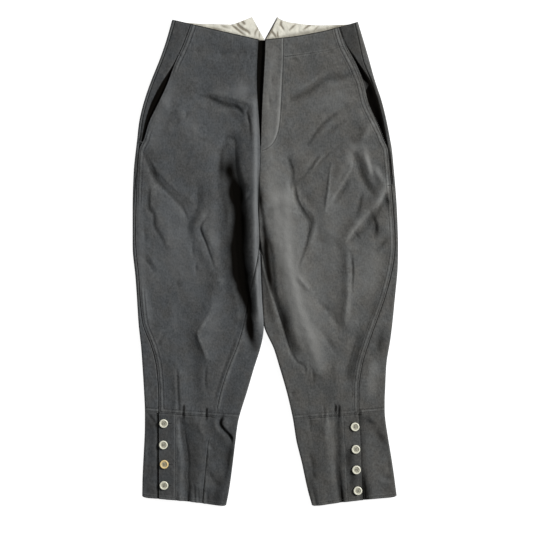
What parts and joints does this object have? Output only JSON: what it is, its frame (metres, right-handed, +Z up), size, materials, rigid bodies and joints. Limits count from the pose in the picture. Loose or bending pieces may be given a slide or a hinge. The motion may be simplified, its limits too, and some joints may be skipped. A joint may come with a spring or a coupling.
{
  "type": "cropped jodhpurs laid flat",
  "caption": "Cropped riding jodhpurs laid flat, front up: high waist with a fishtail back, slanted pockets, full thighs, narrow cuffs fastened by buttons at the side.",
  "frame": {"origin": "bottom centre of the bounding box, on the surface that the garment lies on", "axes": "+X across the garment towards its own left leg, +Y up the garment to the waist, +Z up out of the surface, with the front uppermost"},
  "size_m": [0.4788, 0.8834, 0.016],
  "materials": {
    "drill_right": "matt charcoal cotton drill, worn paler along the seams",
    "drill_left": "matt charcoal cotton drill, a little warmer and paler",
    "drill_inside": "the same drill in the shade of the fly",
    "lining": "creased cream cotton",
    "button_shell": "satin off-white, greyer in the well",
    "button_tan": "satin yellowed off-white"
  },
  "bodies": {
    "root": {"front_right": "drill_right", "front_left": "drill_left", "back_right": "drill_right", "back_left": "drill_left", "cuff_front_right": "drill_right", "cuff_front_left": "drill_left", "cuff_back_right": "drill_right", "cuff_back_left": "drill_left", "pocket_bearer_right": "drill_right", "pocket_bearer_left": "drill_left", "fly_underlap": "drill_inside", "back_lining_right": "lining", "back_lining_left": "lining", "button_right_1": "button_shell", "button_right_2": "button_shell", "button_right_3": "button_tan", "button_right_4": "button_shell", "button_left_1": "button_shell", "button_left_2": "button_shell", "button_left_3": "button_shell", "button_left_4": "button_shell"}
  },
  "joints": []
}
